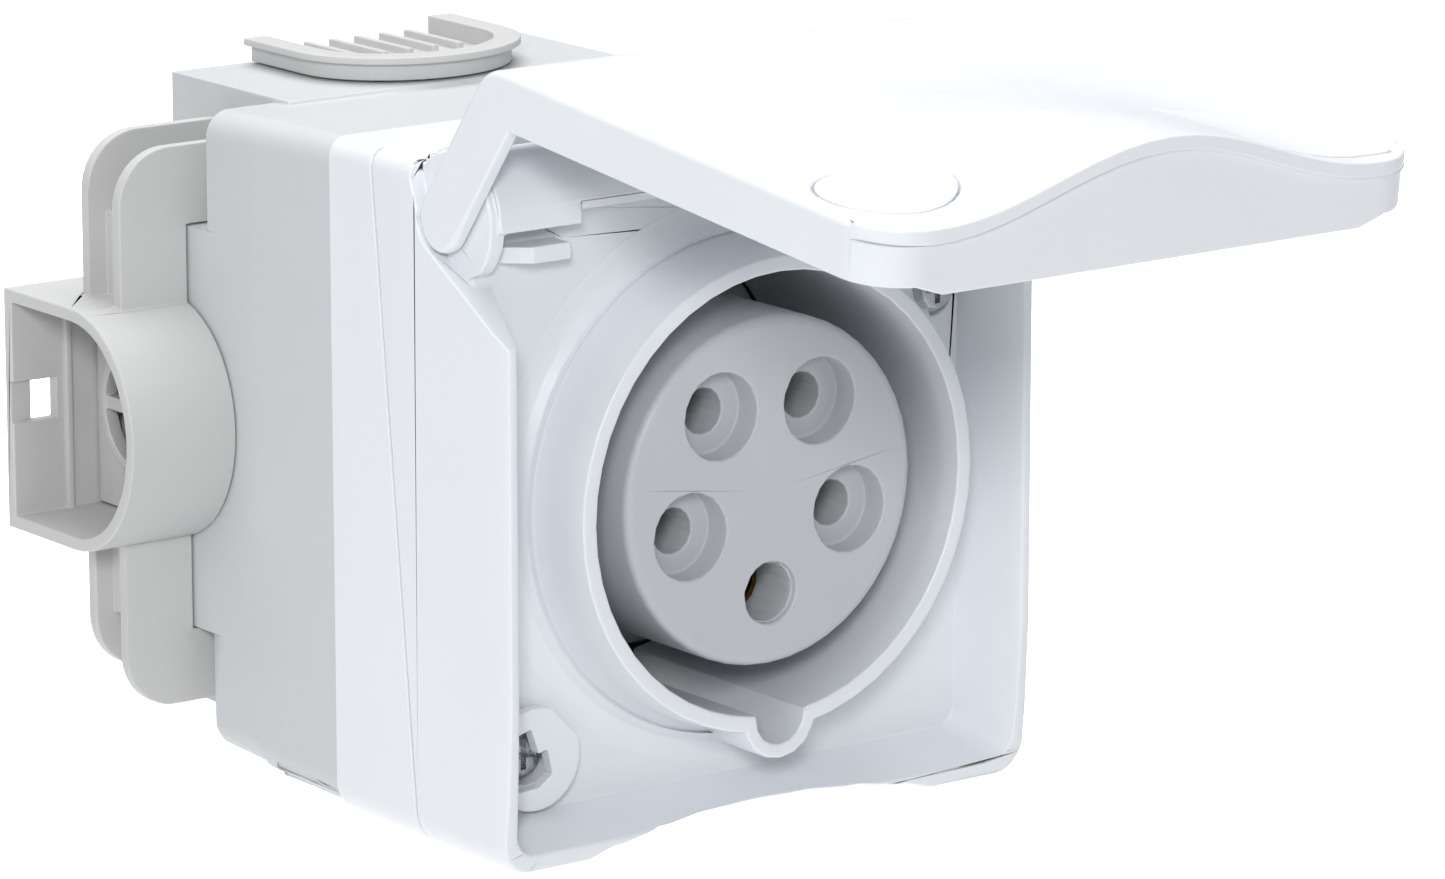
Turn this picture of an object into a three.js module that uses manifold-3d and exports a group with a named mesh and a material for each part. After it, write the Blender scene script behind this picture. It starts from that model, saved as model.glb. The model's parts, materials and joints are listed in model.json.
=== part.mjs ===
// Wall socket with a hinged lid, on a stepped wall box with a side and a top cable entry.
// Millimetres, +Z up. X runs along the face, the front looks towards -Y, and Y = 0 is the
// flat back of the box. The socket's axis is the line X = 0, Z = 0.

import * as THREE from 'three';
import { mergeVertices } from 'three/addons/utils/BufferGeometryUtils.js';
import Module from 'manifold-3d';

const wasm = await Module();
wasm.setup();

// ---- driving dimensions -------------------------------------------------------------------

const DEPTH = 107;            // from the cover frame's rim plane to the back of the box
const HALF_WIDTH = 47.3;      // of the cover frame and the mounting flange
const FRAME_BOTTOM = -49.5;
const FRAME_TOP = 50.6;
const GAP = 0.3;              // clearance between neighbouring pieces

const RIM = 1.0;              // depth of the frame's front edge behind the rim plane
const RIM_BAND = 4.6;         // the outer walls lean in a little in front of this depth
const SEAM_TOP = 34.0;        // depth of the sloping seam at the frame's top
const SEAM_BOTTOM = 23.5;     // and at its bottom
const FLANGE_BACK = 44.5;
const FRAME_WALL = 3.0;
const DISH_DEPTH = 12.5;
const DISH_FLOOR = 2.2;
const DISH_TOP = 39.0;        // height of the dish floor's upper edge

const PIVOT_DEPTH = 17.6;
const PIVOT_HEIGHT = 42.7;
const PIN_RADIUS = 1.5;
const ARM_END = 4.7;          // radius of the lid arms' round ends
const ARM_WALL = 2.2;
const BARREL_OUTER = 10.2;
const BARREL_WALL = 2.0;
const LID_TILT = 6.28;        // degrees below level in the open rest pose
const LID_LENGTH = 98.5;      // pivot to front edge
const LID_REAR = 9.2;         // pivot to rear corner
const LID_FACE = 24.9;        // pivot to the outer face
const LID_EDGE = 16.9;        // pivot to the side walls' edge
const LID_PLATE = 2.2;
const BULGE = 8.0;
const BULGE_HALF = 38.0;
const LIP = 0.9;              // how far the front lip stands out over the wall below it

const SHROUD_INNER = 32.5;    // 32 A five-pole socket
const SHROUD_WALL = 2.4;
const SHROUD_END = 42.0;
const CARRIER_RADIUS = 25.7;
const CARRIER_FACE = 2.6;
const PIN_CIRCLE = 15.0;      // radius of the circle of contacts
const KEYWAY = 4.3;

const STEP_1 = 66.0;          // depths where the wall box steps in
const STEP_2 = 79.0;
const BOX_WALL = 2.2;
const BLOCK_LEFT = -33.8;
const BLOCK_RIGHT = 28.4;
const BLOCK_TOP = 49.7;
const ARM_TOP = 31.2;         // side arms of the cross-shaped rear body
const ARM_BOTTOM = -29.8;
const ARM_HALF = 45.8;

const TUBE_MOUTH = -64.0;
const TUBE_BASE = -46.1;
const TUBE_FLAT = 106.8;      // depth of the tube's flat back wall
const TUBE_ROUND = 88.3;      // depth where the round front begins
const TUBE_HALF = 18.3;
const TUBE_CENTRE = 2.1;
const TUBE_NOSE = 16.8;       // how far the round front reaches forward
const TUBE_WALL = 2.0;

const COLLAR_X = -2.7;
const COLLAR_HALF = 19.0;
const COLLAR_TIP = 105.6;
const COLLAR_ROUND = 91.4;
const COLLAR_NOSE = 16.8;
const COLLAR_TOP = 53.7;

const CURVE = 8;              // straight pieces in a quarter round
const rim = (depth) => depth - DEPTH;
const radians = THREE.MathUtils.degToRad;

// ---- materials ----------------------------------------------------------------------------

function plastic(color, roughness) {
  return new THREE.MeshStandardMaterial({ color, roughness, metalness: 0 });
}

function metal(color, roughness) {
  return new THREE.MeshStandardMaterial({ color, roughness, metalness: 1 });
}

const white = plastic(0xe9ecef, 0.42);
const boxGrey = plastic(0xd3d9dc, 0.5);
const entryGrey = plastic(0xd6d5d0, 0.55);
const carrierGrey = plastic(0xb9b7b3, 0.5);
const clearGrey = plastic(0xe2e5e8, 0.3);
const rubber = plastic(0x45484a, 0.8);
const brass = metal(0xc9a45a, 0.3);
const zinc = metal(0xb8bcc0, 0.35);

// ---- solids -------------------------------------------------------------------------------

function signedVolume(position, index) {
  const a = new THREE.Vector3();
  const b = new THREE.Vector3();
  const c = new THREE.Vector3();
  let total = 0;
  for (let i = 0; i < index.length; i += 3) {
    a.fromBufferAttribute(position, index[i]);
    b.fromBufferAttribute(position, index[i + 1]);
    c.fromBufferAttribute(position, index[i + 2]);
    total += a.dot(b.cross(c));
  }
  return total;
}

// A closed geometry of either winding becomes a solid with its faces out.
function solid(geometry) {
  const bare = geometry.clone();
  bare.deleteAttribute('normal');
  bare.deleteAttribute('uv');
  const merged = mergeVertices(bare, 1e-4);
  const position = merged.getAttribute('position');
  const index = Uint32Array.from(merged.index.array);
  if (signedVolume(position, index) < 0) {
    for (let i = 0; i < index.length; i += 3) {
      [index[i + 1], index[i + 2]] = [index[i + 2], index[i + 1]];
    }
  }
  const mesh = new wasm.Mesh({
    numProp: 3,
    vertProperties: Float32Array.from(position.array),
    triVerts: index,
  });
  return new wasm.Manifold(mesh);
}

function geometryOf(body) {
  const mesh = body.getMesh();
  const geometry = new THREE.BufferGeometry();
  geometry.setAttribute('position', new THREE.BufferAttribute(mesh.vertProperties, 3));
  geometry.setIndex(new THREE.BufferAttribute(mesh.triVerts, 1));
  geometry.computeVertexNormals();
  return geometry;
}

function join(...bodies) {
  return bodies.reduce((whole, body) => whole.add(body));
}

function cut(body, ...tools) {
  return tools.reduce((rest, tool) => rest.subtract(tool), body);
}

function block(x0, x1, y0, y1, z0, z1) {
  const geometry = new THREE.BoxGeometry(x1 - x0, y1 - y0, z1 - z0);
  geometry.translate((x0 + x1) / 2, (y0 + y1) / 2, (z0 + z1) / 2);
  return solid(geometry);
}

function extruded(shape, length, segments = CURVE) {
  return new THREE.ExtrudeGeometry(shape, { depth: length, bevelEnabled: false, curveSegments: segments });
}

// Prisms of a flat outline: along Z from (x, y), along Y from (x, z), along X from (y, z).
function prismZ(shape, z0, z1, segments) {
  return solid(extruded(shape, z1 - z0, segments).translate(0, 0, z0));
}

function prismYGeometry(shape, y0, y1, segments) {
  return extruded(shape, y1 - y0, segments).rotateX(Math.PI / 2).translate(0, y1, 0);
}

function prismY(shape, y0, y1, segments) {
  return solid(prismYGeometry(shape, y0, y1, segments));
}

function prismX(shape, x0, x1, segments) {
  const turn = new THREE.Matrix4().makeBasis(
    new THREE.Vector3(0, 1, 0), new THREE.Vector3(0, 0, 1), new THREE.Vector3(1, 0, 0));
  return solid(extruded(shape, x1 - x0, segments).applyMatrix4(turn).translate(x0, 0, 0));
}

// A body of revolution about a line along Y, from a closed profile of [radius, y] points.
function turned(profile, x = 0, z = 0, segments = 48) {
  const points = profile.map(([radius, y]) => new THREE.Vector2(radius, y));
  points.push(points[0].clone());
  return solid(new THREE.LatheGeometry(points, segments).translate(x, 0, z));
}

function rodY(radius, y0, y1, x = 0, z = 0, segments = 16) {
  const geometry = new THREE.CylinderGeometry(radius, radius, y1 - y0, segments);
  return solid(geometry.translate(x, (y0 + y1) / 2, z));
}

function rodX(radius, x0, x1, y, z, segments = 16) {
  const geometry = new THREE.CylinderGeometry(radius, radius, x1 - x0, segments);
  return solid(geometry.rotateZ(Math.PI / 2).translate((x0 + x1) / 2, y, z));
}

function rodZ(radius, z0, z1, x, y, segments = 12) {
  const geometry = new THREE.CylinderGeometry(radius, radius, z1 - z0, segments);
  return solid(geometry.rotateX(Math.PI / 2).translate(x, y, (z0 + z1) / 2));
}

function polygon(points) {
  return new THREE.Shape(points.map(([u, v]) => new THREE.Vector2(u, v)));
}

function roundedRectangle(x0, x1, z0, z1, lower, upper) {
  const shape = new THREE.Shape();
  shape.moveTo(x0 + lower, z0);
  shape.lineTo(x1 - lower, z0);
  shape.absarc(x1 - lower, z0 + lower, lower, -Math.PI / 2, 0, false);
  shape.lineTo(x1, z1 - upper);
  shape.absarc(x1 - upper, z1 - upper, upper, 0, Math.PI / 2, false);
  shape.lineTo(x0 + upper, z1);
  shape.absarc(x0 + upper, z1 - upper, upper, Math.PI / 2, Math.PI, false);
  shape.lineTo(x0, z0 + lower);
  shape.absarc(x0 + lower, z0 + lower, lower, Math.PI, 1.5 * Math.PI, false);
  return shape;
}

// The face outline that the frame and the flange share, drawn in by an inset.
function faceOutline(inset) {
  return roundedRectangle(
    -HALF_WIDTH + inset, HALF_WIDTH - inset, FRAME_BOTTOM + inset, FRAME_TOP - inset,
    Math.max(5 - inset, 1.5), Math.max(3 - inset, 1));
}

// Narrows a prism along Y: its section at y1 is scaled about the point (x, z).
function tapered(geometry, y0, y1, scaleX, scaleZ, x, z) {
  const position = geometry.getAttribute('position');
  for (let i = 0; i < position.count; i += 1) {
    const t = (position.getY(i) - y0) / (y1 - y0);
    const sx = 1 + t * (scaleX - 1);
    const sz = 1 + t * (scaleZ - 1);
    position.setX(i, x + (position.getX(i) - x) * sx);
    position.setZ(i, z + (position.getZ(i) - z) * sz);
  }
  return geometry;
}

// Leans a body so that the plane y = 0 becomes the sloping seam between frame and flange.
const SEAM_SLOPE = (SEAM_TOP - SEAM_BOTTOM) / (FRAME_TOP - FRAME_BOTTOM);

function leaned(body) {
  return body.warp((point) => {
    point[1] += rim(SEAM_BOTTOM) + (point[2] - FRAME_BOTTOM) * SEAM_SLOPE;
  });
}

function mirroredX(make) {
  return join(make(-1), make(1));
}

// ---- cover frame --------------------------------------------------------------------------

const PIVOT_Y = rim(PIVOT_DEPTH);
const UPPER_SCREW = { x: 37, z: 23.5 };
const LOWER_SCREW = { x: -36, z: -35.5 };
const CAP_RADIUS = 7.6;
const CARRIER_SCREW = 28;

// Side view of the frame: upright rim, sloping shoulders that the closed lid's arms lie on,
// and a round pocket for the arms' ends.
function frameSide() {
  const pocket = ARM_END + 0.4;
  const foot = radians(-59.3);
  const footY = PIVOT_Y + pocket * Math.cos(foot);
  const footZ = PIVOT_HEIGHT + pocket * Math.sin(foot);
  const slope = Math.tan(radians(30.7));
  const shape = new THREE.Shape();
  shape.moveTo(rim(60), FRAME_TOP + 1);
  shape.lineTo(rim(24.2), FRAME_TOP + 1);
  shape.lineTo(rim(24.2), 47.5);
  shape.lineTo(PIVOT_Y + pocket, PIVOT_HEIGHT + 1);
  shape.absarc(PIVOT_Y, PIVOT_HEIGHT, pocket, 0, foot, true);
  shape.lineTo(rim(RIM), footZ - (footY - rim(RIM)) * slope);
  shape.lineTo(rim(RIM), -25);
  shape.lineTo(rim(RIM + 0.7), -38);
  shape.lineTo(rim(RIM + 2), FRAME_BOTTOM - 1);
  shape.lineTo(rim(60), FRAME_BOTTOM - 1);
  return shape;
}

// The finger gap: the lower edge arches up in the middle.
function fingerGap() {
  const shape = new THREE.Shape();
  shape.moveTo(-36, FRAME_BOTTOM - 2);
  shape.lineTo(-34, FRAME_BOTTOM);
  shape.quadraticCurveTo(0, FRAME_BOTTOM + 11.5, 34, FRAME_BOTTOM);
  shape.lineTo(36, FRAME_BOTTOM - 2);
  const tool = prismYGeometry(shape, rim(-1), rim(15), CURVE);
  return solid(tapered(tool, rim(-1), rim(15), 1, 0.2, 0, FRAME_BOTTOM - 2));
}

function dishVoid() {
  const mouth = roundedRectangle(-45.7, 45.7, FRAME_BOTTOM + 1.8, 90, 3.5, 1);
  const geometry = prismYGeometry(mouth, rim(0), rim(DISH_DEPTH), 4);
  return solid(tapered(geometry, rim(0), rim(DISH_DEPTH), 0.915, 0.97, 0, 90));
}

function frameCavity() {
  const shape = roundedRectangle(
    -HALF_WIDTH + FRAME_WALL, HALF_WIDTH - FRAME_WALL, FRAME_BOTTOM + 5.5, FRAME_TOP - 2.2, 2, 1);
  return prismY(shape, rim(DISH_DEPTH + DISH_FLOOR), rim(50), 3);
}

function hingeBarrel() {
  const shape = new THREE.Shape();
  shape.absarc(PIVOT_Y, PIVOT_HEIGHT, BARREL_OUTER, radians(48), radians(185), false);
  shape.absarc(PIVOT_Y, PIVOT_HEIGHT, BARREL_OUTER - BARREL_WALL, radians(185), radians(48), true);
  const barrel = prismX(shape, -43.6, 43.6, 14);
  const opening = new THREE.Shape();
  opening.moveTo(PIVOT_Y - 7, PIVOT_HEIGHT - 4);
  opening.lineTo(PIVOT_Y - 7, PIVOT_HEIGHT + 2.2);
  opening.lineTo(PIVOT_Y - 12, PIVOT_HEIGHT + 2.2);
  opening.lineTo(PIVOT_Y - 12, PIVOT_HEIGHT - 4);
  return cut(barrel, prismX(opening, -29.5, 29.5));
}

function hingeCheek(side) {
  const shape = new THREE.Shape();
  shape.absarc(PIVOT_Y, PIVOT_HEIGHT, BARREL_OUTER - 0.6, radians(-60), radians(225), false);
  shape.lineTo(PIVOT_Y - 3.2, PIVOT_HEIGHT - 8.6);
  shape.lineTo(PIVOT_Y + 2, PIVOT_HEIGHT - 9.4);
  const inner = 42.4;
  const outer = 44.8;
  const cheek = side < 0 ? prismX(shape, -outer, -inner, 10) : prismX(shape, inner, outer, 10);
  return cheek;
}

// Carries the cheek down the inside of the side wall, so nothing shows behind the dish floor.
function cheekFoot(side) {
  const inner = side < 0 ? -44.6 : 42.4;
  return block(inner, inner + 2.2, rim(DISH_DEPTH + 0.5), rim(24), 26, 36);
}

// A short shelf in each upper corner of the dish, under the barrel.
function hingeLedge(side) {
  const shape = polygon([
    [side * 30.8, rim(8.2)], [side * 37.5, rim(8.2)], [side * 42, rim(DISH_DEPTH - 0.5)],
    [side * 42, rim(DISH_DEPTH + 1)], [side * 30.8, rim(DISH_DEPTH + 1)],
  ]);
  return prismZ(shape, 36.9, 39.3);
}

const SHROUD_FOOT = 39.1;     // radius of the flare that sits in the dish floor
const SHROUD_SEAT = 14.2;     // depth of the ledge behind it

// The shroud: a ring with a keyway at six o'clock, flared at its foot, and a tube that runs back.
function shroud() {
  const outer = SHROUD_INNER + SHROUD_WALL;
  const body = join(
    turned([
      [0, rim(0.2)], [outer, rim(0.2)], [outer + 0.4, rim(7)], [outer + 1.6, rim(10)],
      [SHROUD_FOOT, rim(DISH_DEPTH)], [SHROUD_FOOT, rim(SHROUD_SEAT - GAP)],
      [outer, rim(SHROUD_SEAT - GAP)], [outer, rim(SHROUD_END)], [0, rim(SHROUD_END)],
    ], 0, 0, 48),
    rodY(KEYWAY + 2.1, rim(0.2), rim(SHROUD_END), 0, -SHROUD_INNER - 0.2, 16));
  const keyZ = -SHROUD_INNER - 0.2;
  return cut(
    body,
    rodY(SHROUD_INNER, rim(-2), rim(SHROUD_END + 2), 0, 0, 48),
    rodY(KEYWAY, rim(-2), rim(SHROUD_END + 2), 0, keyZ, 16));
}

// The stepped hole in the dish floor that the shroud sits in.
function shroudSeat() {
  const outer = SHROUD_INNER + SHROUD_WALL + GAP;
  return join(
    rodY(SHROUD_FOOT + GAP, rim(-2), rim(SHROUD_SEAT), 0, 0, 48),
    rodY(outer, rim(-2), rim(40), 0, 0, 48),
    rodY(KEYWAY + 2.1 + GAP, rim(-2), rim(40), 0, -SHROUD_INNER - 0.2, 16));
}

function screwTower(x, z, radius, y0, y1) {
  return rodY(radius, y0, y1, x, z, 14);
}

function coverFrame() {
  const middle = (FRAME_TOP + FRAME_BOTTOM) / 2;
  const drawnIn = 1 - 0.55 / HALF_WIDTH;
  const band = prismYGeometry(faceOutline(0), rim(0), rim(RIM_BAND), 4);
  const front = tapered(band, rim(RIM_BAND), rim(0), drawnIn, drawnIn, 0, middle);
  const outer = join(prismY(faceOutline(0), rim(RIM_BAND), rim(40), 4), solid(front));
  let body = outer.intersect(prismX(frameSide(), -60, 60, 10));
  body = body.subtract(leaned(block(-80, 80, 0, 60, -90, 90)));
  body = cut(body, frameCavity(), dishVoid());
  body = join(
    body,
    block(-44.6, 44.6, rim(DISH_DEPTH), rim(DISH_DEPTH + DISH_FLOOR), 28, DISH_TOP),
    mirroredX(cheekFoot),
    block(-29.5, 29.5, rim(DISH_DEPTH), rim(DISH_DEPTH + DISH_FLOOR), 28, 49.6),
    block(-29.5, 29.5, rim(8), rim(DISH_DEPTH + 1), 43.7, 44.9),
    block(-42.6, 42.6, rim(DISH_DEPTH), rim(DISH_DEPTH + 1.1), DISH_TOP - 1, 46),
    hingeBarrel(),
    mirroredX(hingeCheek),
    mirroredX(hingeLedge),
    rodY(SHROUD_FOOT + 2.4, rim(SHROUD_SEAT), rim(SHROUD_SEAT + 1.7), 0, 0, 48),
    screwTower(LOWER_SCREW.x, LOWER_SCREW.z, 6.2, rim(DISH_DEPTH + 0.5), rim(18.2)));
  const corners = [[-1, -1], [-1, 1], [1, -1], [1, 1]];
  for (const [sx, sz] of corners) {
    body = body.add(screwTower(
      sx * CARRIER_SCREW, sz * CARRIER_SCREW, 3.2, rim(SHROUD_SEAT), rim(SHROUD_END)));
  }
  body = cut(
    body,
    shroudSeat(),
    fingerGap(),
    rodX(PIN_RADIUS + GAP, -50, 50, PIVOT_Y, PIVOT_HEIGHT, 14),
    rodY(4.3, rim(5), rim(DISH_DEPTH + 1.2), UPPER_SCREW.x, UPPER_SCREW.z, 20),
    rodY(2.3, rim(5), rim(30), UPPER_SCREW.x, UPPER_SCREW.z, 14),
    rodY(CAP_RADIUS + GAP, rim(5), rim(DISH_DEPTH), LOWER_SCREW.x, LOWER_SCREW.z, 24),
    rodY(4.3, rim(5), rim(16.2), LOWER_SCREW.x, LOWER_SCREW.z, 16),
    rodY(1.9, rim(5), rim(20), LOWER_SCREW.x, LOWER_SCREW.z, 10));
  for (const [sx, sz] of corners) {
    body = body.subtract(rodY(
      1.9, rim(30), rim(60), sx * CARRIER_SCREW, sz * CARRIER_SCREW, 10));
  }
  return body;
}

// ---- mounting flange and seals ------------------------------------------------------------

function faceRing(outerInset, innerInset, y0, y1) {
  return cut(
    prismY(faceOutline(outerInset), y0, y1, 4),
    prismY(faceOutline(innerInset), y0 - 1, y1 + 1, 4));
}

function flangeEars() {
  const web = 2.0;
  const upper = join(
    screwTower(UPPER_SCREW.x, UPPER_SCREW.z, 3, rim(31.5), rim(FLANGE_BACK - 1)),
    block(UPPER_SCREW.x, HALF_WIDTH - 2, rim(34), rim(FLANGE_BACK - 1),
      UPPER_SCREW.z - web, UPPER_SCREW.z + web));
  const lower = join(
    screwTower(LOWER_SCREW.x, LOWER_SCREW.z, 3, rim(26), rim(FLANGE_BACK - 1)),
    block(-HALF_WIDTH + 2, LOWER_SCREW.x, rim(34), rim(FLANGE_BACK - 1),
      LOWER_SCREW.z - web, LOWER_SCREW.z + web));
  return join(upper, lower);
}

const BOX_SCREWS = [[-39, 42.3], [39, 42.3], [-39, -41.3], [39, -41.3]];

// A screw boss that fills the corner between itself and the walls.
function cornerBoss(x, z, y0, y1) {
  const xs = [x, Math.sign(x) * 44.5];
  const zs = [z, z > 0 ? 47.6 : -46.6];
  return join(
    rodY(4.2, y0, y1, x, z, 14),
    block(Math.min(...xs), Math.max(...xs), y0, y1, Math.min(...zs) - 1.5, Math.max(...zs)),
    block(Math.min(...xs) - 1.5, Math.max(...xs), y0, y1, Math.min(...zs), Math.max(...zs)));
}

function mountingFlange() {
  let body = faceRing(0, 4.4, rim(20), rim(FLANGE_BACK));
  body = body.subtract(leaned(block(-80, 80, -60, GAP, -90, 90)));
  body = body.add(flangeEars());
  for (const [x, z] of BOX_SCREWS) {
    body = body.add(cornerBoss(x, z, rim(FLANGE_BACK - 4), rim(FLANGE_BACK)));
  }
  const groove = leaned(faceRing(1.3, 3.3, -1, 1.9));
  const backGroove = faceRing(1.3, 3.3, rim(FLANGE_BACK - 1.5), rim(FLANGE_BACK + 1));
  body = cut(
    body, groove, backGroove,
    rodY(1.7, rim(20), rim(40), UPPER_SCREW.x, UPPER_SCREW.z, 10),
    rodY(1.7, rim(20), rim(40), LOWER_SCREW.x, LOWER_SCREW.z, 10));
  for (const [x, z] of BOX_SCREWS) {
    body = body.subtract(rodY(2.2, rim(30), rim(60), x, z, 12));
  }
  return body.intersect(prismY(faceOutline(0), rim(10), rim(FLANGE_BACK), 4));
}

function coverGasket() {
  return leaned(faceRing(1.6, 3.0, GAP, 1.6));
}

function flangeGasket() {
  return cut(
    faceRing(1.6, 3.0, rim(FLANGE_BACK - 1.2), rim(FLANGE_BACK)),
    ...BOX_SCREWS.map(([x, z]) => rodY(2.6, rim(30), rim(60), x, z, 12)));
}

// ---- wall box -----------------------------------------------------------------------------

function boxSection(inset, y0, y1) {
  const shape = roundedRectangle(
    -HALF_WIDTH + inset, HALF_WIDTH - inset, FRAME_BOTTOM + inset, FRAME_TOP - inset, 5, 4);
  const shrink = 1 - 0.4 / HALF_WIDTH;
  const middle = (FRAME_TOP + FRAME_BOTTOM) / 2;
  return solid(tapered(prismYGeometry(shape, y0, y1, 5), y0, y1, shrink, shrink, 0, middle));
}

function entryOutline(inset) {
  const half = TUBE_HALF - inset;
  const nose = TUBE_NOSE - inset;
  const shape = new THREE.Shape();
  shape.moveTo(rim(TUBE_FLAT - inset), TUBE_CENTRE + half);
  shape.lineTo(rim(TUBE_ROUND), TUBE_CENTRE + half);
  shape.absellipse(rim(TUBE_ROUND), TUBE_CENTRE, nose, half, Math.PI / 2, 1.5 * Math.PI, false, 0);
  shape.lineTo(rim(TUBE_FLAT - inset), TUBE_CENTRE - half);
  return shape;
}

function backBox() {
  const y0 = rim(FLANGE_BACK + GAP);
  const outer = join(
    boxSection(0.5, y0, rim(STEP_1)),
    boxSection(1.2, rim(STEP_1 - 1), rim(STEP_2)),
    block(BLOCK_LEFT, BLOCK_RIGHT, rim(STEP_2 - 4), 0, -46.5, BLOCK_TOP),
    block(-ARM_HALF, ARM_HALF, rim(STEP_2 - 4), 0, ARM_BOTTOM, ARM_TOP));
  const front = prismY(
    roundedRectangle(-43.6, 43.6, -45.6, 46.8, 3, 2), rim(30), rim(STEP_2 - BOX_WALL), 4);
  const rear = join(
    block(BLOCK_LEFT + BOX_WALL, BLOCK_RIGHT - BOX_WALL, rim(STEP_2 - 5), -BOX_WALL, -44.3, 47.3),
    block(-ARM_HALF + BOX_WALL, ARM_HALF - BOX_WALL, rim(STEP_2 - 5), -BOX_WALL,
      ARM_BOTTOM + BOX_WALL, ARM_TOP - BOX_WALL));
  let body = cut(outer, front, rear);
  for (const [x, z] of BOX_SCREWS) {
    body = body.add(cornerBoss(x, z, rim(FLANGE_BACK + GAP), rim(62)));
  }
  for (const [x, z] of BOX_SCREWS) {
    body = body.subtract(rodY(1.9, rim(30), rim(60), x, z, 10));
  }
  const entry = prismX(entryOutline(3.4), -60, -40, 7);
  const latches = [-40, 40].map((x) => rodY(2.6, -5, 5, x, 0, 12));
  return cut(body, entry, ...latches, block(-14, 9, -26, -6, 44, 60));
}

// ---- side cable entry ---------------------------------------------------------------------

function entryPlate(depth, thickness, outerX, bottom, top) {
  const shape = new THREE.Shape();
  const corner = 8.5;
  const inner = BLOCK_LEFT - GAP;
  shape.moveTo(inner, bottom);
  shape.lineTo(inner, ARM_BOTTOM - GAP);
  shape.lineTo(TUBE_BASE, ARM_BOTTOM - GAP);
  shape.lineTo(TUBE_BASE, ARM_TOP + GAP);
  shape.lineTo(inner, ARM_TOP + GAP);
  shape.lineTo(inner, top);
  shape.lineTo(outerX + corner, top);
  shape.absarc(outerX + corner, top - corner, corner, Math.PI / 2, Math.PI, false);
  shape.lineTo(outerX, bottom + corner);
  shape.absarc(outerX + corner, bottom + corner, corner, Math.PI, 1.5 * Math.PI, false);
  return prismY(shape, rim(depth), rim(depth + thickness), 6);
}

function sideEntry() {
  const tube = prismX(entryOutline(0), TUBE_MOUTH, TUBE_BASE, 12);
  const web = join(
    block(-50.4, TUBE_BASE, rim(85), rim(94), ARM_BOTTOM + 2, ARM_TOP - 1),
    block(-54.3, -53.1, rim(85), rim(94), 17, 33),
    block(-54.3, -53.1, rim(85), rim(94), -28, -13));
  const bore = prismX(entryOutline(TUBE_WALL), TUBE_MOUTH - 5, TUBE_BASE + 5, 12);
  const back = rim(TUBE_FLAT);
  const ridge = block(-55.1, -53.9, back - TUBE_WALL - 0.8, back - 0.5, -14.5, 18.7);
  const body = cut(
    join(tube, entryPlate(84, 2, -57.8, -41.2, 43.4), entryPlate(93, 2, -57.5, -37, 44.8), web),
    bore,
    block(-60.5, -56.4, back - 4, back + 1, 0, 6.1),
    block(TUBE_MOUTH - 1, -60.2, back - 4, back - TUBE_WALL + 0.7, -0.1, 6.2));
  return body.add(ridge);
}

// The panel at the tube's inner end, with a raised ring round its hole and a bar across it.
function entryKnockout() {
  const x0 = -49.4;
  const x1 = -48.0;
  const y = rim(92.4);
  const panel = join(
    prismX(entryOutline(TUBE_WALL + GAP), x0, x1, 8),
    rodX(10.2, x0 - 0.9, x1, y, TUBE_CENTRE, 28));
  const bar = block(x0 - 0.5, x1, y - 9.4, y + 9.4, TUBE_CENTRE - 1, TUBE_CENTRE + 1);
  return join(cut(panel, rodX(8.7, x0 - 2, x1 + 1, y, TUBE_CENTRE, 24)), bar);
}

// ---- top cable entry ----------------------------------------------------------------------

function collarOutline(inset, tip) {
  const half = COLLAR_HALF - inset;
  const nose = COLLAR_NOSE - inset;
  const shape = new THREE.Shape();
  shape.moveTo(COLLAR_X - half, rim(tip));
  shape.lineTo(COLLAR_X - half, rim(COLLAR_ROUND));
  shape.absellipse(COLLAR_X, rim(COLLAR_ROUND), half, nose, Math.PI, 2 * Math.PI, false, 0);
  shape.lineTo(COLLAR_X + half, rim(tip));
  return shape;
}

function topEntry() {
  const base = BLOCK_TOP + GAP;
  const floor = prismZ(collarOutline(1.4, COLLAR_TIP), base, base + 0.9, 10);
  const wall = prismZ(collarOutline(1.4, COLLAR_TIP), base, COLLAR_TOP - 0.9, 10);
  const lip = prismZ(collarOutline(0, COLLAR_TIP), COLLAR_TOP - 1.1, COLLAR_TOP, 10);
  const inside = prismZ(collarOutline(4.2, COLLAR_TIP + 5), base + 0.9, COLLAR_TOP + 2, 10);
  let body = join(cut(join(wall, lip), inside), floor);
  for (let i = 0; i < 5; i += 1) {
    const x = COLLAR_X - 7.8 + i * 4.6;
    body = body.add(block(x - 0.6, x + 0.6, rim(COLLAR_TIP - 15), rim(COLLAR_TIP - 0.4), base + 0.5, base + 2.1));
  }
  return body;
}

// ---- contacts -----------------------------------------------------------------------------

const CONTACTS = ['pe', 'l1', 'l2', 'l3', 'n'];
const CONTACT_REAR = 61;
const COLLAR_DEPTH = 44;      // the collars that the retainer plate clamps
const TERMINAL_SCREW = 56;

// Contact places run clockwise from six o'clock, seen from the front.
function contactPlace(i) {
  const angle = radians(-90 - i * 72);
  return { x: PIN_CIRCLE * Math.cos(angle), z: PIN_CIRCLE * Math.sin(angle), angle };
}

function contactRadius(i) {
  return i === 0 ? 5.25 : 4.25;
}

// Depth where the sleeve begins. The earth contact meets its pin first.
function contactFront(i) {
  return i === 0 ? 12.4 : 17.4;
}

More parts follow.
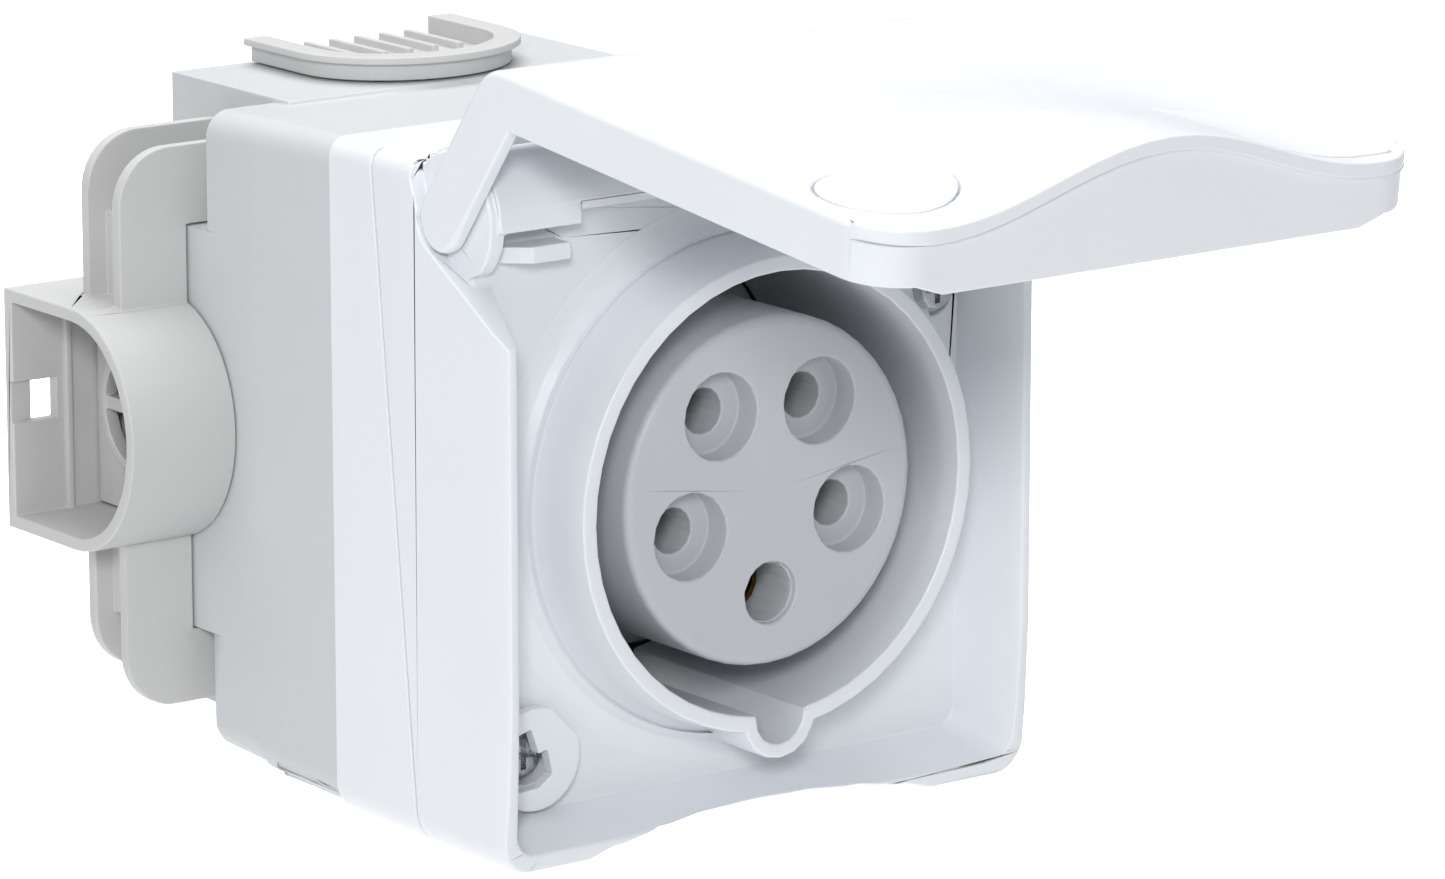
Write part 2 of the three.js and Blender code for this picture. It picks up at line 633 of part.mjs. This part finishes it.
function contactCarrier() {
  let body = join(
    turned([
      [0, rim(CARRIER_FACE)], [CARRIER_RADIUS - 1.2, rim(CARRIER_FACE)],
      [CARRIER_RADIUS - 0.3, rim(CARRIER_FACE + 0.4)], [CARRIER_RADIUS, rim(CARRIER_FACE + 1.3)],
      [CARRIER_RADIUS, rim(44)], [0, rim(44)],
    ], 0, 0, 44),
    prismY(roundedRectangle(-32, 32, -32, 32, 5, 5), rim(43.6), rim(46.6), 4));
  CONTACTS.forEach((name, i) => {
    const { x, z } = contactPlace(i);
    const earth = i === 0;
    const mouth = earth ? 4.6 : 6.4;
    const mouthDepth = earth ? 1.2 : 4.5;
    body = cut(
      body,
      rodY(mouth, rim(0), rim(CARRIER_FACE + mouthDepth), x, z, 20),
      rodY(earth ? 4.35 : 3.4, rim(0), rim(20), x, z, 14),
      rodY(contactRadius(i) + 0.35, rim(contactFront(i) - 0.4), rim(60), x, z, 14),
      rodY(contactRadius(i) + 1.35, rim(COLLAR_DEPTH - GAP), rim(60), x, z, 14));
  });
  body = body.subtract(rodY(1.9, rim(38), rim(60), 0, 0, 10));
  for (const [sx, sz] of [[-1, -1], [-1, 1], [1, -1], [1, 1]]) {
    body = body.subtract(rodY(2.2, rim(40), rim(50), sx * CARRIER_SCREW, sz * CARRIER_SCREW, 12));
  }
  return body;
}

function contact(i) {
  const { x, z, angle } = contactPlace(i);
  const outer = contactRadius(i);
  const sleeve = join(
    rodY(outer, rim(contactFront(i)), rim(CONTACT_REAR), 0, 0, 16),
    rodY(outer + 1, rim(COLLAR_DEPTH), rim(COLLAR_DEPTH + 2.6), 0, 0, 16));
  const body = cut(
    sleeve,
    rodY(outer - 1.05, rim(10), rim(41), 0, 0, 16),
    rodY(2.6, rim(CONTACT_REAR - 9), rim(CONTACT_REAR + 1), 0, 0, 12),
    rodZ(1.9, -9, 0, 0, rim(TERMINAL_SCREW), 10));
  const turn = 90 + THREE.MathUtils.radToDeg(angle);
  return body.rotate([0, -turn, 0]).translate([x, 0, z]);
}

function terminalScrew() {
  return cut(rodZ(1.6, -6.6, -2.9, 0, 0, 10), block(-3, 3, -0.35, 0.35, -8, -5.6));
}

function retainerPlate() {
  let body = rodY(23, rim(46.9), rim(49.9), 0, 0, 36);
  CONTACTS.forEach((name, i) => {
    const { x, z } = contactPlace(i);
    body = body.subtract(rodY(contactRadius(i) + 0.35, rim(40), rim(60), x, z, 14));
  });
  return body.subtract(rodY(1.9, rim(40), rim(60), 0, 0, 12));
}

function carrierGasket() {
  return turned([
    [SHROUD_INNER + 0.2, rim(SHROUD_END + GAP)], [SHROUD_INNER + 2.2, rim(SHROUD_END + GAP)],
    [SHROUD_INNER + 2.2, rim(43.3)], [SHROUD_INNER + 0.2, rim(43.3)],
  ], 0, 0, 40).intersect(prismY(roundedRectangle(-31.8, 31.8, -31.8, 31.8, 4, 4), rim(40), rim(46), 4)
    .add(turned([[0, rim(40)], [40, rim(40)], [40, rim(46)], [0, rim(46)]], 0, 0, 40)));
}

// ---- fasteners ----------------------------------------------------------------------------

// A pan-head screw along +Y with its head's face at y = 0 and a cross recess.
function crossScrew(headRadius, headHeight, shankRadius, length) {
  const body = turned([
    [0, 0], [headRadius - 0.6, 0], [headRadius, 0.8], [headRadius, headHeight],
    [shankRadius, headHeight], [shankRadius, length], [0, length],
  ], 0, 0, 12);
  const arm = headRadius * 0.62;
  return cut(body, block(-arm, arm, -1, 1.4, -0.45, 0.45), block(-0.45, 0.45, -1, 1.4, -arm, arm));
}

// The cap over the lower cover screw: a disc with one flat and a stepped slot.
function screwCap() {
  const outline = new THREE.Shape();
  outline.absarc(0, 0, CAP_RADIUS, radians(70), radians(380), false);
  const disc = prismY(outline, 0, 2.0, 12);
  const slot = polygon([
    [-4.6, 3.6], [-0.9, 4.6], [0.4, 0.8], [1.9, 1.2], [2.8, -2.6], [0.4, -4.2], [-3.0, -4.4], [-5.4, -2.4],
  ]);
  return cut(disc, prismY(slot, -1, 3));
}

// ---- lid ----------------------------------------------------------------------------------

const SHELL_LENGTH = 15.5;

// Lid parts are drawn about the pivot: y runs back along the lid, z out through its face.
// Each arm is the lid's side wall, bent down to a round end about the hinge pin.
function lidArm(side) {
  const shape = new THREE.Shape();
  shape.moveTo(-60, LID_EDGE);
  shape.lineTo(-15.5, LID_EDGE);
  shape.absarc(0, 0, ARM_END, radians(210.7), radians(390.5), false);
  lidCorner(shape);
  shape.lineTo(-60, LID_FACE);
  const inner = HALF_WIDTH - ARM_WALL;
  return side < 0 ? prismX(shape, -HALF_WIDTH, -inner, 9) : prismX(shape, inner, HALF_WIDTH, 9);
}

// The rounded bend from the rear slope to the lid's face.
function lidCorner(shape) {
  shape.lineTo(-LID_REAR + 2.28, LID_FACE - 3.88);
  shape.quadraticCurveTo(-LID_REAR, LID_FACE, -LID_REAR - 4.5, LID_FACE);
}

// Height of the bell-shaped bulge that rises towards the lid's front edge.
function bulgeHeight(x, y) {
  const across = Math.abs(x) < BULGE_HALF ? 0.5 + 0.5 * Math.cos(Math.PI * x / BULGE_HALF) : 0;
  const along = THREE.MathUtils.smoothstep(-y, 30, LID_LENGTH);
  return BULGE * across * along;
}

// A sheet that follows the lid's face, from its top height down by a thickness.
function lidSheet(top, thickness) {
  const y0 = -LID_LENGTH;
  const y1 = -LID_REAR - 5;
  const geometry = new THREE.BoxGeometry(2 * HALF_WIDTH, y1 - y0, thickness, 24, 8, 1);
  geometry.translate(0, (y0 + y1) / 2, top - thickness / 2);
  const position = geometry.getAttribute('position');
  for (let i = 0; i < position.count; i += 1) {
    position.setZ(i, position.getZ(i) + bulgeHeight(position.getX(i), position.getY(i)));
  }
  return solid(geometry);
}

// The bent rear of the lid, between its arms.
function lidRearShell() {
  const along = new THREE.Vector2(0.5076, -0.862);
  const inward = new THREE.Vector2(-0.862, -0.5076).multiplyScalar(2);
  const end = new THREE.Vector2(-LID_REAR, LID_FACE).addScaledVector(along, SHELL_LENGTH);
  const inner = end.clone().add(inward);
  const shape = new THREE.Shape();
  shape.moveTo(end.x, end.y);
  lidCorner(shape);
  shape.lineTo(-LID_REAR - 8, LID_FACE);
  shape.lineTo(-LID_REAR - 8, LID_FACE - LID_PLATE);
  shape.lineTo(-LID_REAR - 3.4, LID_FACE - LID_PLATE);
  shape.quadraticCurveTo(-LID_REAR - 1.2, LID_FACE - LID_PLATE, -LID_REAR - 0.05, LID_FACE - 4.4);
  shape.lineTo(inner.x, inner.y);
  return prismX(shape, -HALF_WIDTH, HALF_WIDTH, 9);
}

function lidOutline(inset, front, corner) {
  return roundedRectangle(-HALF_WIDTH + inset, HALF_WIDTH - inset, front, 20, corner, 1);
}

// The wall around the lid's front and sides. At the front it stands back under the lip.
function lidWall() {
  const half = HALF_WIDTH;
  const shape = new THREE.Shape();
  shape.moveTo(-half - 1, LID_EDGE);
  shape.lineTo(-40.5, LID_EDGE);
  shape.lineTo(-36, LID_EDGE - 1.5);
  shape.lineTo(36, LID_EDGE - 1.5);
  shape.lineTo(40.5, LID_EDGE);
  shape.lineTo(half + 1, LID_EDGE);
  shape.lineTo(half + 1, LID_FACE - 0.8);
  const steps = 24;
  for (let i = 0; i <= steps; i += 1) {
    const x = half - 2 * half * i / steps;
    shape.lineTo(x, LID_FACE - 0.8 + bulgeHeight(x, -LID_LENGTH + 2));
  }
  shape.lineTo(-half - 1, LID_FACE - 0.8);
  const ring = cut(
    prismZ(lidOutline(0, -LID_LENGTH + LIP, 9 - LIP), 10, 40, 7),
    prismZ(lidOutline(ARM_WALL, -LID_LENGTH + LIP + 2, 7 - LIP), 9, 41, 7));
  return ring.intersect(prismY(shape, -LID_LENGTH, -50));
}

const ROUNDEL = { x: -34.3, y: -82, radius: 9.4 };
const LABEL = { x0: 19, x1: 43.5, y0: -95, y1: -71 };
const INSERT_THICKNESS = 0.6;

// Outlines of the two thin inserts in the lid's face, grown by a clearance.
function roundelPrism(clearance) {
  return rodZ(ROUNDEL.radius + clearance, LID_EDGE, LID_FACE + 20, ROUNDEL.x, ROUNDEL.y, 28);
}

function labelPrism(clearance) {
  const shape = roundedRectangle(
    LABEL.x0 - clearance, LABEL.x1 + clearance, LABEL.y0 - clearance, LABEL.y1 + clearance, 2, 2);
  return prismZ(shape, LID_EDGE, LID_FACE + 20, 4);
}

function lidInsert(prism) {
  return lidSheet(LID_FACE, INSERT_THICKNESS).intersect(prism(0));
}

function lid() {
  const plate = lidSheet(LID_FACE, LID_PLATE).intersect(prismZ(lidOutline(0, -LID_LENGTH, 9), 10, 40, 7));
  const body = join(plate, mirroredX(lidArm), lidRearShell(), lidWall());
  const recess = lidSheet(LID_FACE + 1, 1 + INSERT_THICKNESS + GAP);
  const pocket = HALF_WIDTH - 0.9;
  return cut(
    body,
    rodX(PIN_RADIUS + GAP, -pocket, pocket, 0, 0, 14),
    recess.intersect(join(roundelPrism(GAP), labelPrism(GAP))));
}

// A sealing ring that meets the shroud's rim, cut away where the rear shell slopes in.
function lidGasket() {
  const top = LID_FACE - LID_PLATE - GAP;
  const ring = new THREE.LatheGeometry([
    new THREE.Vector2(32.2, 17.9), new THREE.Vector2(35.4, 17.9), new THREE.Vector2(36.2, top),
    new THREE.Vector2(31.4, top), new THREE.Vector2(32.2, 17.9),
  ], 40).rotateX(Math.PI / 2).translate(0, -PIVOT_HEIGHT, 0);
  const slope = polygon([[-13.5, 23], [-12.2, 22], [-7.4, 16.8], [5, 16.8], [5, 23]]);
  return cut(solid(ring), prismX(slope, -40, 40));
}

// ---- hinge hardware -----------------------------------------------------------------------

class Coil extends THREE.Curve {
  constructor(radius, pitch, turns) {
    super();
    this.radius = radius;
    this.pitch = pitch;
    this.turns = turns;
  }

  getPoint(t, target = new THREE.Vector3()) {
    const angle = t * this.turns * 2 * Math.PI;
    return target.set(
      t * this.turns * this.pitch, this.radius * Math.cos(angle), this.radius * Math.sin(angle));
  }
}

function torsionSpring(x) {
  const wire = new THREE.Shape();
  wire.absarc(0, 0, 0.45, 0, 2 * Math.PI, false);
  const geometry = new THREE.ExtrudeGeometry(wire, {
    extrudePath: new Coil(3.2, 1.3, 5), steps: 50, bevelEnabled: false, curveSegments: 2,
  });
  return solid(geometry.translate(x, PIVOT_Y, PIVOT_HEIGHT));
}

// ---- scene graph --------------------------------------------------------------------------

const socket = new THREE.Group();
socket.name = 'wall_socket';

function piece(name, body, material, parent = socket) {
  const mesh = new THREE.Mesh(geometryOf(body), material);
  mesh.name = name;
  parent.add(mesh);
  return mesh;
}

piece('back_box', backBox(), boxGrey);
piece('mounting_flange', mountingFlange(), white);
piece('flange_gasket', flangeGasket(), rubber);
piece('cover_gasket', coverGasket(), rubber);
piece('cover_frame', coverFrame(), white);
piece('shroud', shroud(), white);
piece('side_cable_entry', sideEntry(), entryGrey);
piece('side_entry_knockout', entryKnockout(), entryGrey);
piece('top_cable_entry', topEntry(), entryGrey);

piece('contact_carrier', contactCarrier(), carrierGrey);
piece('carrier_gasket', carrierGasket(), rubber);
piece('contact_retainer', retainerPlate(), carrierGrey);
CONTACTS.forEach((name, i) => {
  const { x, z, angle } = contactPlace(i);
  piece(`contact_${name}`, contact(i), brass);
  const screw = piece(`terminal_screw_${name}`, terminalScrew(), zinc);
  screw.position.set(x, rim(TERMINAL_SCREW), z);
  screw.rotation.y = -(angle + Math.PI / 2);
});

const retainerScrew = piece('retainer_screw', crossScrew(3.2, 2.0, 1.5, 7), zinc);
retainerScrew.rotation.x = Math.PI;
retainerScrew.position.set(0, rim(52.2), 0);

[[-1, 1], [1, 1], [-1, -1], [1, -1]].forEach(([sx, sz], i) => {
  const screw = piece(`carrier_screw_${i + 1}`, crossScrew(3.2, 2.2, 1.5, 12), zinc);
  screw.rotation.x = Math.PI;
  screw.position.set(sx * CARRIER_SCREW, rim(49.1), sz * CARRIER_SCREW);
});

BOX_SCREWS.forEach(([x, z], i) => {
  const screw = piece(`flange_screw_${i + 1}`, crossScrew(3.3, 2.2, 1.5, 18), zinc);
  screw.position.set(x, rim(FLANGE_BACK - 6.5), z);
});

const upperScrew = piece('cover_screw_upper', crossScrew(3.5, 2.4, 1.4, 26), zinc);
upperScrew.position.set(UPPER_SCREW.x, rim(DISH_DEPTH - 1.6), UPPER_SCREW.z);
const lowerScrew = piece('cover_screw_lower', crossScrew(3.5, 2.4, 1.4, 22), zinc);
lowerScrew.position.set(LOWER_SCREW.x, rim(13.5), LOWER_SCREW.z);
const cap = piece('screw_cap', screwCap(), clearGrey);
cap.position.set(LOWER_SCREW.x, rim(DISH_DEPTH - 2.0 - GAP), LOWER_SCREW.z);

piece('hinge_pin', rodX(PIN_RADIUS, -46, 46, PIVOT_Y, PIVOT_HEIGHT, 12), zinc);
piece('torsion_spring_left', torsionSpring(-40.5), zinc);
piece('torsion_spring_right', torsionSpring(34), zinc);

const lidGroup = new THREE.Group();
lidGroup.position.set(0, PIVOT_Y, PIVOT_HEIGHT);
lidGroup.rotation.x = radians(LID_TILT);
socket.add(lidGroup);
piece('lid', lid(), white, lidGroup);
piece('lid_gasket', lidGasket(), rubber, lidGroup);
piece('lid_roundel', lidInsert(roundelPrism), white, lidGroup);
piece('lid_label', lidInsert(labelPrism), clearGrey, lidGroup);

export default socket;
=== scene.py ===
"""Looks for a five-pole power socket with a hinged lid on a wall box. Metres, +Z up, front towards -Y."""

import bpy
import bmesh
import json
import math
from mathutils import Matrix, Vector
from mathutils.bvhtree import BVHTree


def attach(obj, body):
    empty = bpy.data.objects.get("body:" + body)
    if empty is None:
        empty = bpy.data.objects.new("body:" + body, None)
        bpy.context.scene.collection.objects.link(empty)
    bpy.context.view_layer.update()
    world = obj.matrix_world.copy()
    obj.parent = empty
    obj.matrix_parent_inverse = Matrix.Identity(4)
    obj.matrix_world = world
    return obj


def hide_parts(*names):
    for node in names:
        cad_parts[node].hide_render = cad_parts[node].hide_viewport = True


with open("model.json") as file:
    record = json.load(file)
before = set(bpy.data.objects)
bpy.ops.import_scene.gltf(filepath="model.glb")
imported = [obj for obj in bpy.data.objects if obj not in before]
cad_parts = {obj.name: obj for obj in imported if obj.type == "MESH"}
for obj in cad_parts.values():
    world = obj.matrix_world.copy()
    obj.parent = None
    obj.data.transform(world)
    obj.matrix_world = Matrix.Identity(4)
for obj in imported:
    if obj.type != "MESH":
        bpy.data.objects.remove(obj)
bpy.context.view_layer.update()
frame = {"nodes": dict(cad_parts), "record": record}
nodes = frame["nodes"]
scene = bpy.context.scene
MM = 0.001
SHARP = math.radians(24)      # edges sharper than this are rounded
WELD = 0.03 * MM              # vertices closer than this are one
WALL_SIDE = 47.2 * MM         # the lid's side walls lie outside this
BOX_STEPS = (-41 * MM, -28 * MM)      # where the wall box steps in, along y
STEP_REACH = 0.6 * MM
RIM_DEPTH = 107               # of the back of the box behind the rim plane, mm
FOOT_OUTER, FOOT_INNER = 41.6, 37.0   # radii of the ring at the shroud's foot, mm
FOOT_FLOOR, FOOT_RISE, FOOT_UNDER = 12.44, 2.6, 13.2
FOOT_POINTS, FOOT_STEPS = 8, 96
PIVOT = Vector((0, -0.0894, 0.0427))  # of the lid's hinge
TILT = math.radians(6.28)             # of the lid at rest, below level


# ---- materials -----------------------------------------------------------------------------

def new_material(name):
    material = bpy.data.materials.new(name)
    material.use_nodes = True
    tree = material.node_tree
    tree.nodes.clear()
    output = tree.nodes.new("ShaderNodeOutputMaterial")
    shader = tree.nodes.new("ShaderNodeBsdfPrincipled")
    tree.links.new(shader.outputs["BSDF"], output.inputs["Surface"])
    return material, tree, shader


def noise(tree, coordinates, scale, detail, roughness=0.5):
    node = tree.nodes.new("ShaderNodeTexNoise")
    node.inputs["Scale"].default_value = scale
    node.inputs["Detail"].default_value = detail
    node.inputs["Roughness"].default_value = roughness
    tree.links.new(coordinates, node.inputs["Vector"])
    return node.outputs["Fac"]


def remap(tree, value, low, high, to_low, to_high):
    node = tree.nodes.new("ShaderNodeMapRange")
    node.inputs["From Min"].default_value = low
    node.inputs["From Max"].default_value = high
    node.inputs["To Min"].default_value = to_low
    node.inputs["To Max"].default_value = to_high
    tree.links.new(value, node.inputs["Value"])
    return node.outputs["Result"]


def mix_colour(tree, factor, first, second):
    node = tree.nodes.new("ShaderNodeMix")
    node.data_type = "RGBA"
    tree.links.new(factor, node.inputs["Factor"])
    for socket, colour in ((node.inputs["A"], first), (node.inputs["B"], second)):
        if isinstance(colour, tuple):
            socket.default_value = (*colour, 1)
        else:
            tree.links.new(colour, socket)
    return node.outputs["Result"]


def scaled(colour, factor):
    return tuple(min(1.0, c * factor) for c in colour)


def bump(tree, height, strength, distance, below=None):
    node = tree.nodes.new("ShaderNodeBump")
    node.inputs["Strength"].default_value = strength
    node.inputs["Distance"].default_value = distance
    tree.links.new(height, node.inputs["Height"])
    if below is not None:
        tree.links.new(below, node.inputs["Normal"])
    return node.outputs["Normal"]


def plastic(name, colour, roughness, grain, specular=0.5):
    """Moulded plastic: faint flow marks, a fine spark-eroded grain and lighter rubbed edges."""
    material, tree, shader = new_material(name)
    place = tree.nodes.new("ShaderNodeTexCoord").outputs["Object"]
    flow = noise(tree, place, 38, 3)
    fine = noise(tree, place, 3200, 2, 0.6)
    cloudy = noise(tree, place, 420, 4, 0.6)
    body = mix_colour(tree, remap(tree, flow, 0.3, 0.7, 0, 1), scaled(colour, 0.985), scaled(colour, 1.012))
    specks = remap(tree, cloudy, 0.62, 0.78, 0, 0.35)
    body = mix_colour(tree, specks, body, scaled(colour, 0.965))
    edge = remap(tree, tree.nodes.new("ShaderNodeNewGeometry").outputs["Pointiness"], 0.53, 0.6, 0, 0.5)
    body = mix_colour(tree, edge, body, scaled(colour, 1.04))
    tree.links.new(body, shader.inputs["Base Color"])
    sheen = remap(tree, cloudy, 0.3, 0.7, roughness - 0.05, roughness + 0.05)
    tree.links.new(sheen, shader.inputs["Roughness"])
    shader.inputs["Specular IOR Level"].default_value = specular
    waves = bump(tree, flow, 0.25, 0.00006)
    tree.links.new(bump(tree, fine, grain, 0.00002, waves), shader.inputs["Normal"])
    return material


def metal(name, colour, roughness, dull):
    """Plated or drawn metal: uneven sheen, fine scratches and a duller colour in patches."""
    material, tree, shader = new_material(name)
    place = tree.nodes.new("ShaderNodeTexCoord").outputs["Object"]
    patches = noise(tree, place, 260, 4, 0.65)
    stretch = tree.nodes.new("ShaderNodeMapping")
    stretch.inputs["Scale"].default_value = (1, 0.08, 1)
    tree.links.new(place, stretch.inputs["Vector"])
    lines = noise(tree, stretch.outputs["Vector"], 5200, 3, 0.7)
    tree.links.new(
        mix_colour(tree, remap(tree, patches, 0.4, 0.7, 0, 1), colour, dull), shader.inputs["Base Color"])
    sheen = remap(tree, patches, 0.3, 0.7, roughness - 0.08, roughness + 0.1)
    tree.links.new(sheen, shader.inputs["Roughness"])
    shader.inputs["Metallic"].default_value = 1.0
    tree.links.new(bump(tree, lines, 0.3, 0.00001), shader.inputs["Normal"])
    return material


def rubber(name, colour):
    material, tree, shader = new_material(name)
    place = tree.nodes.new("ShaderNodeTexCoord").outputs["Object"]
    dust = noise(tree, place, 900, 4, 0.7)
    tree.links.new(
        mix_colour(tree, remap(tree, dust, 0.45, 0.75, 0, 1), colour, scaled(colour, 1.5)),
        shader.inputs["Base Color"])
    tree.links.new(remap(tree, dust, 0.3, 0.7, 0.7, 0.9), shader.inputs["Roughness"])
    tree.links.new(bump(tree, dust, 0.4, 0.00005), shader.inputs["Normal"])
    return material


MATERIALS = {
    "white_cover": plastic("cover_plastic", (0.77, 0.795, 0.83), 0.36, 0.10),
    "box_grey": plastic("box_plastic", (0.565, 0.585, 0.60), 0.46, 0.22, 0.4),
    "entry_grey": plastic("entry_plastic", (0.55, 0.55, 0.545), 0.5, 0.30, 0.4),
    "carrier_grey": plastic("carrier_plastic", (0.51, 0.525, 0.545), 0.45, 0.25, 0.45),
    "insert_grey": plastic("insert_plastic", (0.77, 0.793, 0.815), 0.44, 0.02, 0.3),
    "seal_rubber": rubber("seal_rubber", (0.035, 0.037, 0.04)),
    "contact_brass": metal("contact_brass", (0.78, 0.58, 0.27), 0.3, (0.55, 0.38, 0.16)),
    "zinc_steel": metal("zinc_plate", (0.63, 0.65, 0.67), 0.28, (0.47, 0.49, 0.50)),
}
SLOT = {row["node"]: row["material_slot"] for row in frame["record"]["subparts"]}


def dress(piece, slot):
    piece.data.materials.clear()
    piece.data.materials.append(MATERIALS[slot])


# ---- pieces made finer than their CAD solids -----------------------------------------------

def body_of(node):
    for body, members in frame["record"]["behaviour"]["bodies"].items():
        if node in members:
            return body
    raise ValueError(node)


def refined(node, width, big=None, crisp=None):
    """A copy of a CAD node with rounded edges and smooth shading.
    big is (test, width): edges whose two ends pass the test are rounded by that width instead.
    crisp is a test for edges that stay sharp."""
    source = nodes[node]
    mesh = bpy.data.meshes.new(node + "_fine")
    work = bmesh.new()
    work.from_mesh(source.data)
    bmesh.ops.remove_doubles(work, verts=work.verts, dist=WELD)
    surface = BVHTree.FromBMesh(work)
    widest = width
    if big is not None:
        test, widest = big
        merge_flats(work, 0.6)
        round_edges(work, sharp_edges(work, test), widest, 4)
        merge_flats(work, 0.3)
    sharp = sharp_edges(work)
    kept = [] if crisp is None else sharp_edges(work, crisp)
    for edge in kept:
        edge.smooth = False
    round_edges(work, [edge for edge in sharp if edge not in kept], width, 2)
    for vert in work.verts:
        place, _, _, distance = surface.find_nearest(vert.co)
        if distance > 0.75 * widest:
            vert.co = place
    bmesh.ops.remove_doubles(work, verts=work.verts, dist=0.01 * MM)
    work.to_mesh(mesh)
    work.free()
    piece = bpy.data.objects.new(node + "_fine", mesh)
    scene.collection.objects.link(piece)
    piece.matrix_world = source.matrix_world.copy()
    for polygon in mesh.polygons:
        polygon.use_smooth = True
    weighted = piece.modifiers.new("normals", "WEIGHTED_NORMAL")
    weighted.keep_sharp = True
    weighted.weight = 100
    dress(piece, SLOT[node])
    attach(piece, body_of(node))
    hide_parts(node)
    return piece


def merge_flats(work, degrees):
    bmesh.ops.dissolve_limit(
        work, angle_limit=math.radians(degrees), verts=work.verts, edges=work.edges)


def round_edges(work, edges, width, segments):
    bmesh.ops.bevel(
        work, geom=edges, offset=width, offset_type="OFFSET", segments=segments, profile=0.5,
        affect="EDGES", clamp_overlap=False, loop_slide=True)


def sharp_edges(work, test=None):
    chosen = []
    for edge in work.edges:
        if len(edge.link_faces) != 2 or edge.calc_face_angle(0) < SHARP:
            continue
        if test is None or (test(edge.verts[0].co) and test(edge.verts[1].co)):
            chosen.append(edge)
    return chosen


def fillet_ring():
    """The soft foot between the shroud's flare and the dish floor, over the joint between the two."""
    profile = []
    for i in range(FOOT_POINTS + 1):
        turn = math.radians(90 * i / FOOT_POINTS)
        profile.append((
            FOOT_OUTER - (FOOT_OUTER - FOOT_INNER) * math.sin(turn) ** 0.8,
            FOOT_FLOOR - FOOT_RISE * (1 - math.cos(turn))))
    profile += [(FOOT_INNER, FOOT_UNDER), (FOOT_OUTER, FOOT_UNDER)]
    mesh = bpy.data.meshes.new("shroud_foot")
    work = bmesh.new()
    rings = []
    for step in range(FOOT_STEPS):
        turn = math.radians(360 * step / FOOT_STEPS)
        rings.append([work.verts.new((
            radius * MM * math.cos(turn), (depth - RIM_DEPTH) * MM, radius * MM * math.sin(turn)))
            for radius, depth in profile])
    for step, ring in enumerate(rings):
        following = rings[(step + 1) % len(rings)]
        for i in range(len(profile)):
            j = (i + 1) % len(profile)
            work.faces.new((ring[i], following[i], following[j], ring[j]))
    bmesh.ops.recalc_face_normals(work, faces=work.faces)
    for edge in work.edges:
        edge.smooth = edge.calc_face_angle(0) < math.radians(50)
    work.to_mesh(mesh)
    work.free()
    for polygon in mesh.polygons:
        polygon.use_smooth = True
    piece = bpy.data.objects.new("shroud_foot", mesh)
    scene.collection.objects.link(piece)
    dress(piece, "white_cover")
    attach(piece, "housing")


def in_lid(place):
    """A point in the lid's own frame, about its pivot: y back along it, z out through its face."""
    return Matrix.Rotation(-TILT, 3, "X") @ (place - PIVOT)


def lid_outer_side(place):
    own = in_lid(place)
    return abs(place.x) > WALL_SIDE and (own.z > 20 * MM or own.y > -15 * MM)


def box_step(place):
    return any(abs(place.y - step) < STEP_REACH for step in BOX_STEPS)


refined("cover_frame", 0.35 * MM)
refined("shroud", 0.35 * MM)
refined("lid", 0.4 * MM, big=(lid_outer_side, 1.1 * MM))
refined("mounting_flange", 0.2 * MM)
refined("back_box", 0.4 * MM, crisp=box_step)
refined("side_cable_entry", 0.3 * MM)
refined("top_cable_entry", 0.2 * MM)
refined("contact_carrier", 0.35 * MM)
refined("side_entry_knockout", 0.25 * MM)
refined("screw_cap", 0.2 * MM)
fillet_ring()
for name in ("cover_screw_upper", "cover_screw_lower", "lid_roundel"):
    refined(name, 0.08 * MM)

for name, node in nodes.items():
    dress(node, SLOT[name])


# ---- floor, light and camera ---------------------------------------------------------------

def floor():
    bpy.ops.mesh.primitive_plane_add(size=12, location=(0, 2, -0.50))
    plane = bpy.context.object
    plane.name = "floor"
    material, tree, shader = new_material("floor_paper")
    place = tree.nodes.new("ShaderNodeTexCoord").outputs["Object"]
    tone = noise(tree, place, 3, 3)
    tree.links.new(
        mix_colour(tree, tone, (0.93, 0.93, 0.93), (0.97, 0.97, 0.97)), shader.inputs["Base Color"])
    shader.inputs["Roughness"].default_value = 0.9
    plane.data.materials.append(material)


def area_light(name, location, target, size, power, spread=180):
    light = bpy.data.lights.new(name, "AREA")
    light.shape = "SQUARE"
    light.size = size
    light.energy = power
    light.spread = math.radians(spread)
    lamp = bpy.data.objects.new(name, light)
    lamp.location = location
    lamp.rotation_euler = (Vector(target) - Vector(location)).to_track_quat("-Z", "Y").to_euler()
    scene.collection.objects.link(lamp)


def camera():
    lens = bpy.data.cameras.new("camera")
    lens.lens = 173.7
    lens.sensor_width = 36
    lens.clip_start = 0.05
    lens.clip_end = 50
    eye = bpy.data.objects.new("camera", lens)
    forward = Vector((0.5866, 0.7773, -0.2273)).normalized()
    right = Vector((0.7982, -0.6024, 0.0)).normalized()
    up = right.cross(forward)
    turn = Matrix((right, up, -forward)).transposed().to_4x4()
    eye.matrix_world = Matrix.Translation((-0.5896, -0.8741, 0.2339)) @ turn
    scene.collection.objects.link(eye)
    scene.camera = eye


floor()
centre = (0, -0.08, 0)
area_light("key", (-1.14, -1.54, 0.76), centre, 0.36, 17)
area_light("left_fill", (-1.8, 0.0, 0.35), centre, 1.2, 5)
area_light("overhead", (0.1, 0.15, 1.35), centre, 1.4, 20)
area_light("backdrop", (1.45, 1.8, 1.1), (1.45, 1.81, 0), 2.6, 50, 110)
world = bpy.data.worlds.new("studio")
world.use_nodes = True
world.node_tree.nodes["Background"].inputs["Color"].default_value = (0.95, 0.975, 1.0, 1)
world.node_tree.nodes["Background"].inputs["Strength"].default_value = 0.38
scene.world = world
scene.view_settings.view_transform = "Standard"
camera()
